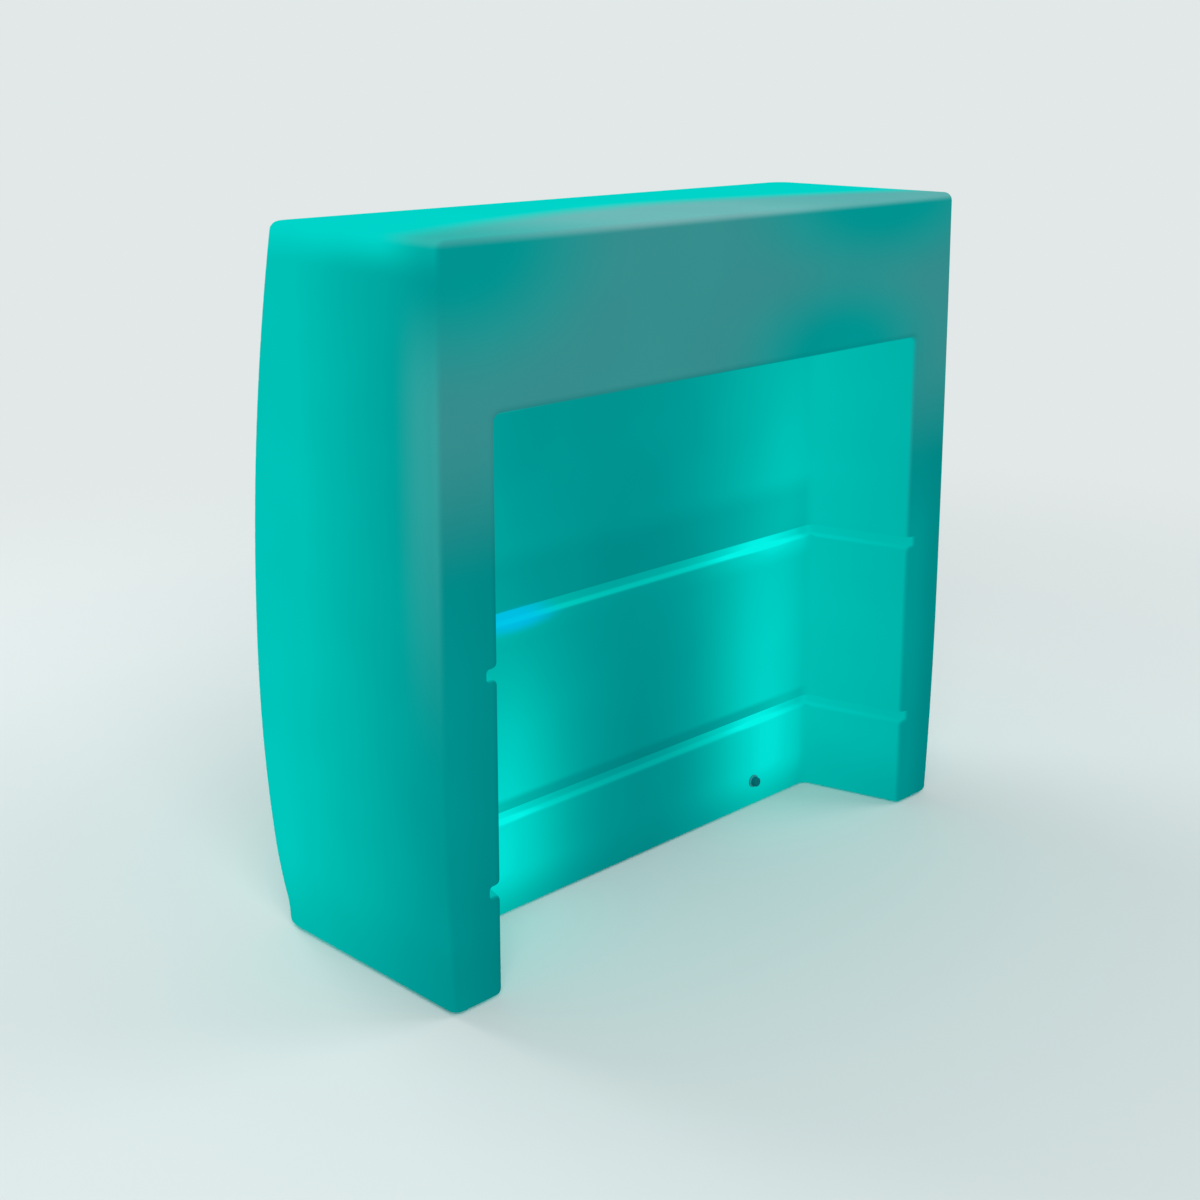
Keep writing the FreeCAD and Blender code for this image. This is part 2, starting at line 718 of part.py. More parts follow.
def battery_tray(label):
    """Tray with a cradle for each cell and four posts that carry the control board."""
    body = doc.addObject("PartDesign::Body", label)
    floor = rectangle("0", "0", TRAY_HALF_X, TRAY_HALF_Y)
    block = new_sketch(body, f"{label}_plan", "XY_Plane", [floor], lift=COVER_TOP)
    pad(body, f"{label}_block", block, f"{CELL_AXIS} - {COVER_TOP}")
    middle = (CELLS - 1) / 2
    radius = "cell_diameter / 2 + fit_gap"
    cradles = [(f"cell_pitch * {index - middle}", CELL_AXIS, radius) for index in range(CELLS)]
    section = new_sketch(body, f"{label}_cradle_section", "XZ_Plane", circles=cradles)
    pocket(body, f"{label}_cradles", section, "cell_length + 2 * fit_gap", both=True)
    post_x, post_y = f"({TRAY_HALF_X} - post_width / 2)", f"({TRAY_HALF_Y} - tray_wall / 2)"
    posts = [rectangle(f"{a}{post_x}", f"{b}{post_y}", "post_width / 2", "tray_wall / 2")
             for a in ("", "-") for b in ("", "-")]
    post_plan = new_sketch(body, f"{label}_post_plan", "XY_Plane", posts, lift=COVER_TOP)
    pad(body, f"{label}_posts", post_plan, f"{BOARD_BASE} - {COVER_TOP}")
    return body


def control_board(label):
    """Board with its soldered terminal block and chips."""
    body = doc.addObject("PartDesign::Body", label)
    top = f"{BOARD_BASE} + board_thickness"
    terminal_y = f"{TRAY_HALF_Y} - terminal_width"
    outline = rectangle("0", "0", TRAY_HALF_X, TRAY_HALF_Y)
    terminal = rectangle("0", terminal_y, "terminal_length / 2", "terminal_width / 2")
    chips = [rectangle(f"{sign}chip_pitch / 2", "-chip_side / 2", "chip_side / 2", "chip_side / 2")
             for sign in ("", "-")]
    for name, loops, lift, height in (("blank", [outline], BOARD_BASE, "board_thickness"),
                                      ("terminal", [terminal], top, "terminal_height"),
                                      ("chips", chips, top, "chip_height")):
        plan = new_sketch(body, f"{label}_{name}_plan", "XY_Plane", loops, lift=lift)
        pad(body, f"{label}_{name}", plan, height)
    return body


def drill_led_holes(body, name, lift, length):
    spots = ring("led_screw_ring", SCREWS_PER_LED_BOARD)
    holes = [(x, y, "led_screw_radius + screw_gap") for x, y in spots]
    pocket(body, name, new_sketch(body, f"{name}_plan", "XY_Plane", circles=holes, lift=lift), length)


def heat_plate(label):
    """Disc that closes the housing, stepped to drop into its bore."""
    step = f"{HOUSING_RADIUS} - housing_wall - fit_gap"
    body = turned(label, [
        ("wire_hole_radius", f"{HOUSING_TOP} - plate_step"),
        (step, f"{HOUSING_TOP} - plate_step"),
        (step, HOUSING_TOP),
        (HOUSING_RADIUS, HOUSING_TOP),
        (HOUSING_RADIUS, PLATE_TOP),
        ("wire_hole_radius", PLATE_TOP),
    ])
    drill_led_holes(body, f"{label}_holes", PLATE_TOP, "plate_thickness + plate_step")
    return body


def led_board(label):
    body = turned(label, [
        ("wire_hole_radius", PLATE_TOP),
        ("led_board_radius", PLATE_TOP),
        ("led_board_radius", LED_BOARD_TOP),
        ("wire_hole_radius", LED_BOARD_TOP),
    ])
    drill_led_holes(body, f"{label}_holes", LED_BOARD_TOP, "led_board_thickness")
    return body


def lamp_dome(label):
    """Diffuser that slips over the housing and rests on the rim of the heat plate."""
    bore_radius = f"({HOUSING_RADIUS} + fit_gap)"
    outside = f"({bore_radius} + dome_wall)"
    inside = f"({HOUSING_RADIUS} - dome_ledge)"
    inner_rise = "(dome_height - dome_wall)"
    outer_curve = f"(({outside}^2 + dome_height^2) / (2 * dome_height))"
    inner_curve = f"-(({inside}^2 + {inner_rise}^2) / (2 * {inner_rise}))"
    return turned(label, [
        (bore_radius, f"{PLATE_TOP} - dome_skirt"),
        (outside, f"{PLATE_TOP} - dome_skirt"),
        (outside, PLATE_TOP, outer_curve),
        ("0", f"{PLATE_TOP} + dome_height"),
        ("0", f"{PLATE_TOP} + {inner_rise}", inner_curve),
        (inside, PLATE_TOP),
        (bore_radius, PLATE_TOP),
    ])


def lamp_unit(side, lamp_x, lead_angles):
    """One lamp with its cover, battery, board and diffuser, and a hole for each lead."""
    def at(x, y, z, template, rotation=None):
        return copy_at(template, f"{lamp_x} + {x}", f"{LAMP_Y} + {y}", z, rotation)

    for name, maker in (("lamp_cover", lamp_cover), ("cover_gasket", cover_gasket),
                        ("battery_tray", battery_tray), ("control_board", control_board),
                        ("heat_plate", heat_plate), ("led_board", led_board), ("lamp_dome", lamp_dome)):
        label = f"{name}_{side}"
        place(keep(maker(label), label), lamp_x, LAMP_Y)

    tube = housing_tube(f"housing_tube_{side}")
    place(tube, lamp_x, LAMP_Y)
    label = f"lamp_housing_{side}"
    radius = "grommet_neck_radius + grommet_gap"
    lead_holes = [bore(f"{label}_hole_{angle}", radius, "lamp_hole", lamp_x, LAMP_Y, level, towards(angle))
                  for angle, level in lead_angles]
    keep(drilled(label, tube, lead_holes), label)

    sink = f"{COVER_BASE} + screw_head_height"
    screws = [at(x, y, sink, cover_screw) for x, y in ring(SCREW_RING, SCREWS_PER_COVER)]
    group(f"cover_screws_{side}", screws)

    middle = (CELLS - 1) / 2
    cells = []
    for index in range(CELLS):
        sign = "-" if index % 2 else ""
        start, heading = f"{sign}cell_length / 2", TOWARDS_SERVER if sign else -TOWARDS_SERVER
        cells.append(at(f"cell_pitch * {index - middle}", start, CELL_AXIS, cell, towards(heading)))
    group(f"battery_cells_{side}", cells)

    spots = ring("led_outer_ring", OUTER_LED_COUNT) + ring("led_inner_ring", INNER_LED_COUNT)
    group(f"led_emitters_{side}", [at(x, y, LED_BOARD_TOP, emitter) for x, y in spots])

    upside_down = FreeCAD.Rotation(Vector(1, 0, 0), HALF_TURN)
    spots = ring("led_screw_ring", SCREWS_PER_LED_BOARD)
    group(f"board_screws_{side}", [at(x, y, LED_BOARD_TOP, board_screw, upside_down) for x, y in spots])


LINK_ANGLE = TOWARDS_SERVER
CHARGE_ANGLE = value("charge_angle")
lamp_unit("left", LEFT_LAMP_X, [(LINK_ANGLE, "link_level")])
lamp_unit("right", RIGHT_LAMP_X, [(LINK_ANGLE, "link_level"), (CHARGE_ANGLE, "socket_level")])


# Charging socket: turned pieces with their axis along Y, zero at the face of the bay's back wall

def on_socket_axis(body, label):
    place(keep(body, label), SOCKET_X, BAY_BACK_Y, "socket_level", towards(TOWARDS_SERVER))


FLANGE_FACE = "(washer_thickness + flange_thickness)"
BOSS_FACE = f"({FLANGE_FACE} + boss_height)"
JACK_FLOOR = f"({BOSS_FACE} - jack_depth)"
on_socket_axis(turned("charge_socket", [
    ("0", "-barrel_tail"),
    ("barrel_radius", "-barrel_tail"),
    ("barrel_radius", "washer_thickness"),
    ("flange_radius", "washer_thickness"),
    ("flange_radius", FLANGE_FACE),
    ("boss_radius", FLANGE_FACE),
    ("boss_radius", BOSS_FACE),
    ("jack_radius", BOSS_FACE),
    ("jack_radius", JACK_FLOOR),
    ("0", JACK_FLOOR),
]), "charge_socket")
on_socket_axis(turned("charge_pin", [
    ("0", JACK_FLOOR),
    ("pin_radius", JACK_FLOOR),
    ("pin_radius", f"{JACK_FLOOR} + pin_length - pin_radius", "pin_radius"),
    ("0", f"{JACK_FLOOR} + pin_length"),
]), "charge_pin")
on_socket_axis(turned("charge_gasket", [
    ("barrel_radius + barrel_gap", "0"),
    ("flange_radius", "0"),
    ("flange_radius", "washer_thickness"),
    ("barrel_radius + barrel_gap", "washer_thickness"),
]), "charge_gasket")
on_socket_axis(turned("charge_cap", [
    ("boss_radius + cap_gap", FLANGE_FACE),
    ("cap_radius", FLANGE_FACE),
    ("cap_radius", f"{FLANGE_FACE} + cap_height - cap_edge_radius", "cap_edge_radius"),
    ("cap_radius - cap_edge_radius", f"{FLANGE_FACE} + cap_height"),
    ("0", f"{FLANGE_FACE} + cap_height"),
    ("0", f"{FLANGE_FACE} + cap_height - cap_end"),
    ("boss_radius + cap_gap", f"{FLANGE_FACE} + cap_height - cap_end"),
]), "charge_cap")

nut = doc.addObject("PartDesign::Body", "charge_nut")
nut_corner, nut_flat = "nut_width / sqrt(3)", "nut_width / 2"
hexagon = [
    (nut_corner, "0"),
    (f"{nut_corner} / 2", nut_flat),
    (f"-{nut_corner} / 2", nut_flat),
    (f"-{nut_corner}", "0"),
    (f"-{nut_corner} / 2", f"-{nut_flat}"),
    (f"{nut_corner} / 2", f"-{nut_flat}"),
]
nut_plan = new_sketch(nut, "nut_plan", "XY_Plane", [hexagon], [("0", "0", "barrel_radius + push_gap")],
                      lift="-wall - nut_thickness")
pad(nut, "nut_blank", nut_plan, "nut_thickness")
on_socket_axis(nut, "charge_nut")


# Inner leads: straight runs joined by tangent arcs

def lead(label, points, bend):
    """Round lead along points, with an arc of radius bend at each inner point."""
    edges = []
    start = points[0]
    for before, corner, after in zip(points, points[1:], points[2:]):
        into, out = (corner - before).normalize(), (after - corner).normalize()
        half_turn = into.getAngle(out) / 2
        enter = corner - into * bend * math.tan(half_turn)
        leave = corner + out * bend * math.tan(half_turn)
        middle = corner + (out - into).normalize() * bend * (1 / math.cos(half_turn) - 1)
        edges += [Part.LineSegment(start, enter).toShape(), Part.Arc(enter, middle, leave).toShape()]
        start = leave
    edges.append(Part.LineSegment(start, points[-1]).toShape())
    path = Part.Wire(edges)
    section = Part.Wire(Part.makeCircle(value("lead_radius"), points[0], points[1] - points[0]))
    feature = doc.addObject("Part::Feature", label)
    feature.Shape = path.makePipeShell([section], True, False)
    expected = math.pi * value("lead_radius") ** 2 * path.Length
    if not math.isclose(feature.Shape.Volume, expected, rel_tol=NEAR):
        raise RuntimeError(f"{label} is not a whole tube")
    return keep(feature, label)


def point(x, y, z):
    return Vector(value(x), value(y), value(z))


def housing_port(lamp_x, angle, level, reach):
    """Point on the axis of a lead hole, at a distance from the outside of the housing."""
    away = towards(angle).multVec(UP)
    return point(lamp_x, LAMP_Y, level) + away * value(f"{HOUSING_RADIUS} + {reach}")


INSIDE = "-housing_wall - lead_tail"
link_points = [
    housing_port(RIGHT_LAMP_X, LINK_ANGLE, "link_level", INSIDE),
    point(RIGHT_LAMP_X, LINK_Y, "link_level"),
    point(LEFT_LAMP_X, LINK_Y, "link_level"),
    housing_port(LEFT_LAMP_X, LINK_ANGLE, "link_level", INSIDE),
]
lead("link_lead", link_points, value("link_bend"))

socket_back = point(SOCKET_X, f"{BAY_BACK_Y} - barrel_tail", "socket_level")
across = f"({SOCKET_X} - {RIGHT_LAMP_X})"
turning = point(SOCKET_X, f"{LAMP_Y} + {across} * tan(charge_angle)", "socket_level")
charge_points = [socket_back, turning, housing_port(RIGHT_LAMP_X, CHARGE_ANGLE, "socket_level", INSIDE)]
lead("charge_lead", charge_points, value("charge_bend"))

grommets = []
for lamp_x, angle, level in ((LEFT_LAMP_X, LINK_ANGLE, "link_level"),
                             (RIGHT_LAMP_X, LINK_ANGLE, "link_level"),
                             (RIGHT_LAMP_X, CHARGE_ANGLE, "socket_level")):
    spot = housing_port(lamp_x, angle, level, "0")
    grommets.append(copy_at(grommet, str(spot.x), str(spot.y), str(spot.z), towards(angle)))
group("lead_grommets", grommets)

# Clips that hold the link lead to the hollow side of the bay's back wall
clip = doc.addObject("PartDesign::Body", "clip_template")
half_plate = "clip_plate_side / 2"
clip_side = new_sketch(clip, "clip_plate_section", "YZ_Plane",
                       [rectangle("clip_standoff - clip_plate / 2", "0", "clip_plate / 2", half_plate)])
pad(clip, "clip_plate_block", clip_side, "clip_plate_side", both=True)
saddle_radius = "(lead_radius + grommet_gap + clip_wall)"
plate_middle = "clip_standoff - clip_plate / 2"
saddle = [
    ("0", f"-{saddle_radius}"),
    (plate_middle, f"-{saddle_radius}"),
    (plate_middle, saddle_radius),
    ("0", saddle_radius, saddle_radius),
    (f"-{saddle_radius}", "0", saddle_radius),
]
saddle_section = new_sketch(clip, "clip_saddle_section", "YZ_Plane", [saddle])
pad(clip, "clip_saddle", saddle_section, "clip_width", both=True)
eye = new_sketch(clip, "clip_eye_section", "YZ_Plane", circles=[("0", "0", "lead_radius + grommet_gap")])
pocket(clip, "clip_eye", eye, "clip_plate_side", both=True)
middle = (CLIPS - 1) / 2
clip_pitch = f"(({LEFT_LAMP_X} - clip_margin) / {middle})"
clip_places = [f"{clip_pitch} * {index - middle}" for index in range(CLIPS)]
group("lead_clips", [copy_at(clip, x, LINK_Y, "link_level") for x in clip_places])

# Test every object, then write one file for each piece
doc.recompute()
for item in doc.Objects:
    if {"Invalid", "Error"} & set(item.State):
        raise RuntimeError(f"{item.Label} failed: {item.State}")
for item in pieces:
    if item.Shape.isNull() or not item.Shape.isValid():
        raise RuntimeError(f"{item.Label} has no valid shape")
os.makedirs("parts", exist_ok=True)
for item in pieces:
    item.Shape.exportStep(f"parts/{item.Label}.step")
print(f"{len(pieces)} pieces written")
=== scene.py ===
import json
import math

import bmesh
import bpy
from mathutils import Euler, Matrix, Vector


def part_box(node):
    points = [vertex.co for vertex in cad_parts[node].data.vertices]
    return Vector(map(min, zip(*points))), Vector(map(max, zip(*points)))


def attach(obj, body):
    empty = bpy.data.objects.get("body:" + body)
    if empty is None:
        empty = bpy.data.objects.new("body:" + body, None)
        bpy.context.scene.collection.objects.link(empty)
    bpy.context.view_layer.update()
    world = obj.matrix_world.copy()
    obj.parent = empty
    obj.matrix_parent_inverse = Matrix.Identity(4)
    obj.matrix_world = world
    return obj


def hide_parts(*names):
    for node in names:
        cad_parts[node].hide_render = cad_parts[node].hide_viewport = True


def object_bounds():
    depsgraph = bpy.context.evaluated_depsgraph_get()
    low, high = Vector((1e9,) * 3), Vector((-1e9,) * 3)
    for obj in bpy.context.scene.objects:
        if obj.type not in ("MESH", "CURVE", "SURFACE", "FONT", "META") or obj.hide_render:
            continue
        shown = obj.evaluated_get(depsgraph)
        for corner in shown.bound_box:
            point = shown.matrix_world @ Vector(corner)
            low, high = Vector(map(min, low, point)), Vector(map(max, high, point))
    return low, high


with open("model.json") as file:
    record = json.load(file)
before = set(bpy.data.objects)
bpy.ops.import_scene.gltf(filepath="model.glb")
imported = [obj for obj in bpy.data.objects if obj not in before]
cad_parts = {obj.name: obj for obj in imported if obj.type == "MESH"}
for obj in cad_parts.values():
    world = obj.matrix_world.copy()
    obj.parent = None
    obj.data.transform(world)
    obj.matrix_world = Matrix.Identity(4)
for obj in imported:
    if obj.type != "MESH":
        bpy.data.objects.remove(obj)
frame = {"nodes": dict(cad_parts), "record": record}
cad_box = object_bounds()
nodes = frame["nodes"]

# Hollow body: one seamless moulding in natural polyethylene, turned in an oven until it coats its mould.
# Two lamps in its base light it from inside, so each face shows how much light reaches its back.
# The front and ends glow evenly, the bay's back wall mostly beside the lamps, the server's face least.
SIDES = ("left", "right")
MILLIMETRE = 0.001
BAY_MOUTH_HALF = 491 * MILLIMETRE
BAY_BACK_HALF = 443 * MILLIMETRE
BAY_TOP_Z = 869 * MILLIMETRE
GROOVE_DEPTH = 20 * MILLIMETRE
GROOVE_HALF_WIDTH = 8.5 * MILLIMETRE
body_low, body_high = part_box("body_shell")
lamp_low, lamp_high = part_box("lamp_dome_left")
mounts = {mount["name"]: Vector(mount["pos_m"]) for mount in frame["record"]["mounts"]}
SERVER_Y = body_high.y
FRONT_Y = body_low.y
TOP_Z = body_high.z
BAY_BACK_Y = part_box("charge_gasket")[0].y
LAMP_Z = lamp_high.z
LIGHT_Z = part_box("led_emitters_left")[1].z
LAMP_TO_WALL = BAY_BACK_Y - (lamp_low.y + lamp_high.y) / 2

MATH = "ShaderNodeMath"
VECTOR = "ShaderNodeVectorMath"
RANGE = "ShaderNodeMapRange"
MIX = "ShaderNodeMix"
NOISE = "ShaderNodeTexNoise"
SHADER = "ShaderNodeBsdfPrincipled"
SMOOTH = {"interpolation_type": "SMOOTHSTEP"}

# Sockets of a Mix node, which has one pair for numbers and one for colours
FACTOR = 0
FIRST = 2
SECOND = 3
FIRST_COLOUR = 6
SECOND_COLOUR = 7
MIXED_COLOUR = 2


def linear(code):
    """Linear colour of an sRGB hex value."""
    channels = [int(code[start:start + 2], 16) / 255 for start in (1, 3, 5)]
    return [c / 12.92 if c <= 0.04045 else ((c + 0.055) / 1.055) ** 2.4 for c in channels] + [1]


def add(tree, kind, inputs=(), **settings):
    """Add a node with its settings, and link or set its inputs, given in order or by name or number."""
    node = tree.nodes.new(kind)
    for name, setting in settings.items():
        setattr(node, name, setting)
    for key, source in inputs.items() if isinstance(inputs, dict) else enumerate(inputs):
        if isinstance(source, bpy.types.Node):
            source = source.outputs[0]
        if isinstance(source, bpy.types.NodeSocket):
            tree.links.new(source, node.inputs[key])
        else:
            node.inputs[key].default_value = source
    return node


def new_material(name):
    """Empty node material, its tree and its Object coordinates."""
    material = bpy.data.materials.new(name)
    material.use_nodes = True
    tree = material.node_tree
    tree.nodes.clear()
    return material, tree, add(tree, "ShaderNodeTexCoord").outputs["Object"]


def away_from(tree, place, spot, half_width, half_height):
    """Distance from a spot on an upright wall, as a share of a half width and a half height."""
    offset = add(tree, VECTOR, [place, spot], operation="SUBTRACT")
    shares = add(tree, VECTOR, [offset, (1 / half_width, 0, 1 / half_height)], operation="MULTIPLY")
    return add(tree, VECTOR, [shares], operation="LENGTH").outputs["Value"]


def dress(material, *names):
    """Give CAD nodes a material."""
    for name in names:
        for slot in nodes[name].material_slots:
            slot.material = material


# Rotomoulded polyethylene: dull, with a faint orange peel, and a glow that the lamps give it.
# The glow runs from 0, a wall that little light reaches, to 1, a wall right beside a lamp.
polyethylene, tree, place = new_material("lit_polyethylene")
axes = add(tree, "ShaderNodeSeparateXYZ", [place]).outputs
depth = axes["Y"]
height = axes["Z"]
across = add(tree, MATH, [axes["X"]], operation="ABSOLUTE")

# Light of the lamps on an upright wall: it fades sideways and upwards, and close to the floor.
# The right lamp throws its light higher than the left one, and a little towards the middle.
LAMP_SPREAD = 0.35
LAMP_REACH = {"left": 0.69, "right": 1.45}
LAMP_SHIFT = {"left": 0, "right": 12 * MILLIMETRE}
LAMP_FADE = 4
LOW_SHARE = 0.62
LOW_EDGE = 80 * MILLIMETRE
lamp_light = 0.0
for side in SIDES:
    low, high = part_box(f"lamp_dome_{side}")
    brightest = ((low.x + high.x) / 2 + LAMP_SHIFT[side], 0, LAMP_Z)
    away = away_from(tree, place, brightest, LAMP_SPREAD, LAMP_REACH[side])
    falloff = add(tree, MATH, [away, away, 1.0], operation="MULTIPLY_ADD")
    nearness = add(tree, MATH, [falloff, -LAMP_FADE], operation="POWER")
    lamp_light = add(tree, MATH, [lamp_light, nearness])
above_floor = add(tree, RANGE, [height, 0, LOW_EDGE, LOW_SHARE, 1], **SMOOTH)
lamp_light = add(tree, MATH, [lamp_light, above_floor], operation="MULTIPLY")

# Outside: brightest at the customers' side, fading evenly towards the server and close to the floor
OUTSIDE_GLOW = 0.69
SERVER_EDGE_GLOW = 0.39
FRONT_LAMP_GLOW = 0.26
FRONT_END_Y = 0.7 * FRONT_Y
FADE_START_Y = 0.35 * FRONT_Y
FLOOR_FALL = 0.09
FLOOR_FALL_HEIGHT = 0.15
FLOOR_SERVER_SHARE = 0.5
outside = add(tree, RANGE, [depth, FADE_START_Y, SERVER_Y, OUTSIDE_GLOW, SERVER_EDGE_GLOW])
on_front = add(tree, RANGE, [depth, FRONT_END_Y, FADE_START_Y, FRONT_LAMP_GLOW, 0], **SMOOTH)
outside = add(tree, MATH, [lamp_light, on_front, outside], operation="MULTIPLY_ADD")
floor_fall = add(tree, RANGE, [height, 0, FLOOR_FALL_HEIGHT, FLOOR_FALL, 0], **SMOOTH)
fall_share = add(tree, RANGE, [depth, FADE_START_Y, SERVER_Y, 1, FLOOR_SERVER_SHARE])
outside_fall = add(tree, MATH, [floor_fall, fall_share], operation="MULTIPLY")
outside = add(tree, MATH, [outside, outside_fall], operation="SUBTRACT")

# Top: lit straight from below, and less over the apron, which hardly any light reaches.
# The border between the two bows as the front does, and the ends brighten just below the top.
TOP_GLOW = 0.84
TOP_SERVER_GLOW = 0.40
TOP_END_GLOW = 0.55
TOP_END_X = (0.15, 0.58)
TOP_BLEND = 60 * MILLIMETRE
TOP_BOW = 0.30
TOP_BOW_POWER = 1.56
TOP_FADE_Y = (-0.03, 0.09)
outward = add(tree, MATH, [across, TOP_BOW_POWER], operation="POWER")
bowed_depth = add(tree, MATH, [outward, -TOP_BOW, depth], operation="MULTIPLY_ADD")
over_apron = add(tree, RANGE, [bowed_depth, *TOP_FADE_Y], **SMOOTH)
apron_glow = add(tree, RANGE, [axes["X"], *TOP_END_X, TOP_SERVER_GLOW, TOP_END_GLOW], **SMOOTH)
top_glow = add(tree, RANGE, [over_apron, 0, 1, TOP_GLOW, apron_glow])
near_top = add(tree, RANGE, [height, TOP_Z - TOP_BLEND, TOP_Z], **SMOOTH)
outside = add(tree, MIX, {FACTOR: near_top, FIRST: outside, SECOND: top_glow})

# Bay: its back wall glows beside each lamp, and a little more towards the top and its upper corners
BACK_WALL_GLOW = 0.23
HIGH_WALL_GLOW = 0.37
CORNER_RISE = 0.11
CORNER_START_X = 0.25
CORNER_BLEND = 100 * MILLIMETRE
upper_level = mounts["upper_shelf_groove"].z
CORNER_Z = (upper_level - CORNER_BLEND / 2, upper_level + CORNER_BLEND / 2)
LAMP_GLOW = 0.67
back_glow = add(tree, RANGE, [height, LAMP_Z, BAY_TOP_Z, BACK_WALL_GLOW, HIGH_WALL_GLOW])
to_corner = add(tree, RANGE, [across, CORNER_START_X, BAY_BACK_HALF], **SMOOTH)
to_top = add(tree, RANGE, [height, *CORNER_Z, 0, CORNER_RISE], **SMOOTH)
back_glow = add(tree, MATH, [to_corner, to_top, back_glow], operation="MULTIPLY_ADD")
lamp_share = add(tree, MATH, [lamp_light, LAMP_GLOW], operation="MULTIPLY")

# Shelf grooves: each is a ridge inside the hollow, which glows, takes a share of the right lamp's light and
# shades the wall above, up to the line from the lamp past its tip. The upper one throws light down too.
# The rise is the groove's own extra glow, which is less at its bends and least along the side walls.
GROOVES = {
    "lower_shelf_groove": {
        "rise": 0.19,
        "bend_rise": 0.08,
        "lit_depth": 4 * MILLIMETRE,
        "shaded_share": 0.65,
        "bend_shade_share": 0.5,
        "bounced_share": 0.0,
    },
    "upper_shelf_groove": {
        "rise": 0.29,
        "bend_rise": 0.10,
        "lit_depth": 3 * MILLIMETRE,
        "shaded_share": 0.80,
        "bend_shade_share": 1.0,
        "bounced_share": 0.30,
    },
}
PASSED_SHARE = {"left": 1.0, "right": 0.86}
SHADE_FALL = 0.035
SHADE_EDGE = (0.7, 1.3)
BEND_X = (0.27, 0.40)
SIDE_GROOVE_RISE = 0.04
GROOVE_BACK_SHARE = 0.4
board_edge_x = {side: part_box(f"led_board_{side}")[0].x for side in SIDES}
PASSED_X = (board_edge_x["right"], board_edge_x["left"])
wall_x = add(tree, RANGE, [depth, BAY_BACK_Y, SERVER_Y, BAY_BACK_HALF, BAY_MOUTH_HALF], clamp=False)
behind_side = add(tree, MATH, [across, wall_x], operation="SUBTRACT")
behind_back = add(tree, MATH, [BAY_BACK_Y, depth], operation="SUBTRACT")
recess = add(tree, MATH, [behind_side, behind_back], operation="MAXIMUM")
at_back = add(tree, RANGE, [recess, GROOVE_DEPTH / 2, GROOVE_DEPTH, 1, GROOVE_BACK_SHARE], **SMOOTH)
passed_share = add(tree, RANGE, [axes["X"], *PASSED_X, PASSED_SHARE["right"], PASSED_SHARE["left"]])
to_bend = add(tree, RANGE, [across, *BEND_X], **SMOOTH)
groove_glow = 0.0
for name, groove in GROOVES.items():
    level = mounts[name].z
    sill = level - GROOVE_HALF_WIDTH
    lip = level + GROOVE_HALF_WIDTH
    shade_height = GROOVE_DEPTH * (lip - LIGHT_Z) / (LAMP_TO_WALL - GROOVE_DEPTH)

    past_lip = add(tree, RANGE, [height, level, lip], **SMOOTH)
    passed = add(tree, RANGE, [past_lip, 0, 1, 1, passed_share])
    lamp_share = add(tree, MATH, [lamp_share, passed], operation="MULTIPLY")
    bounce_start = sill - shade_height / 2
    bounced = add(tree, RANGE, [height, bounce_start, sill, 1, 1 + groove["bounced_share"]], **SMOOTH)
    bounced = add(tree, MIX, {FACTOR: past_lip, FIRST: bounced, SECOND: 1.0})
    lamp_share = add(tree, MATH, [lamp_share, bounced], operation="MULTIPLY")

    shade_start, shade_end = (lip + shade_height * share for share in SHADE_EDGE)
    shade = add(tree, RANGE, [height, shade_start, shade_end, 1, 0], **SMOOTH)
    shade = add(tree, MATH, [shade, past_lip], operation="MULTIPLY")
    bend_shade = add(tree, RANGE, [to_bend, 0, 1, 1, groove["bend_shade_share"]])
    shade = add(tree, MATH, [shade, bend_shade], operation="MULTIPLY")
    unshaded = add(tree, RANGE, [shade, 0, 1, 1, groove["shaded_share"]])
    lamp_share = add(tree, MATH, [lamp_share, unshaded], operation="MULTIPLY")
    back_glow = add(tree, MATH, [shade, -SHADE_FALL, back_glow], operation="MULTIPLY_ADD")

    sill_edge = sill - GROOVE_HALF_WIDTH
    above_sill = add(tree, MATH, [height, sill_edge], operation="GREATER_THAN")
    below_lip = add(tree, RANGE, [height, (level + lip) / 2, lip, 1, 0], **SMOOTH)
    in_groove = add(tree, MATH, [above_sill, below_lip], operation="MULTIPLY")
    in_recess = add(tree, RANGE, [recess, 0, groove["lit_depth"]], **SMOOTH)
    in_recess = add(tree, MATH, [in_recess, at_back], operation="MULTIPLY")
    in_groove = add(tree, MATH, [in_groove, in_recess], operation="MULTIPLY")
    side_rise = (groove["bend_rise"], SIDE_GROOVE_RISE)
    past_bend = add(tree, RANGE, [across, BAY_BACK_HALF, BAY_MOUTH_HALF, *side_rise])
    groove_rise = add(tree, RANGE, [to_bend, 0, 1, groove["rise"], past_bend])
    groove_glow = add(tree, MATH, [in_groove, groove_rise, groove_glow], operation="MULTIPLY_ADD")

# Side walls of the bay: lit from the front's hollow, and paler than the back wall
SIDE_WALL_GLOW = 0.67
SIDE_MOUTH_GLOW = 0.59
SIDE_BLEND_X = (BAY_BACK_HALF - 25 * MILLIMETRE, BAY_BACK_HALF + 5 * MILLIMETRE)
BAY_START_Y = (0, 20 * MILLIMETRE)
APRON_BLEND = 10 * MILLIMETRE
LEG_START_X = BAY_MOUTH_HALF + GROOVE_DEPTH
back_glow = add(tree, MATH, [back_glow, lamp_share])
side_glow = add(tree, RANGE, [depth, BAY_BACK_Y, SERVER_Y, SIDE_WALL_GLOW, SIDE_MOUTH_GLOW])
side_glow = add(tree, MATH, [side_glow, floor_fall], operation="SUBTRACT")
on_side = add(tree, RANGE, [across, *SIDE_BLEND_X], **SMOOTH)
bay_glow = add(tree, MIX, {FACTOR: on_side, FIRST: back_glow, SECOND: side_glow})
bay_glow = add(tree, MATH, [bay_glow, groove_glow])
